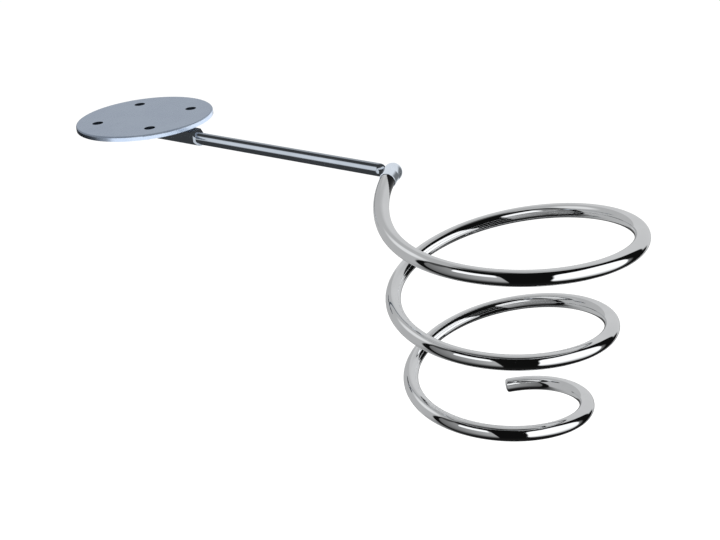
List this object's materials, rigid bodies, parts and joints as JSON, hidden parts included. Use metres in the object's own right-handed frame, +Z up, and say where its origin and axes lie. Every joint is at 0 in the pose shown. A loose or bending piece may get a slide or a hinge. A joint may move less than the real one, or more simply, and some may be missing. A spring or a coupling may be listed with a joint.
{
  "type": "hair dryer holder",
  "caption": "Under-shelf hair dryer holder: round screw plate, swinging rod arm and a tapering spiral of round bar on a knuckle at the arm's end.",
  "frame": {"origin": "middle of the round plate's top face, which bears on the underside of the shelf", "axes": "+Z up, out of the plate's top face into the shelf; +X along the arm at rest, from the pivot to the knuckle"},
  "size_m": [0.3616, 0.1422, 0.1601],
  "materials": {
    "satin_plate": "satin plated, slightly blue",
    "chrome": "bright chrome plate on steel",
    "plain_steel": "turned steel, zinc plated",
    "spring_steel": "dark phosphated spring steel",
    "bronze": "sintered bronze",
    "nylon": "natural nylon"
  },
  "bodies": {
    "mount": {"mounting_plate": "satin_plate", "pivot_stud": "plain_steel", "upper_nylon_washer": "nylon", "lower_nylon_washer": "nylon", "steel_washer": "plain_steel", "disc_spring": "spring_steel", "retaining_ring": "spring_steel"},
    "arm": {"swivel_block": "chrome", "pivot_bush": "bronze", "arm_rod": "chrome", "grub_screws": "spring_steel"},
    "spiral": {"knuckle_fork": "chrome", "knuckle_pin": "plain_steel", "knuckle_shims": "nylon", "braze_ring": "chrome", "coil_bar": "chrome"}
  },
  "joints": [
    {"name": "arm_swing", "type": "hinge", "parent": "mount", "child": "arm", "pos_m": [0, 0, -0.00835], "axis": [0, 0, 1], "continuous": true},
    {"name": "spiral_swivel", "type": "hinge", "parent": "arm", "child": "spiral", "pos_m": [0.19, 0, -0.00835], "axis": [0, 0, 1], "range_deg": [-15, 90]}
  ]
}
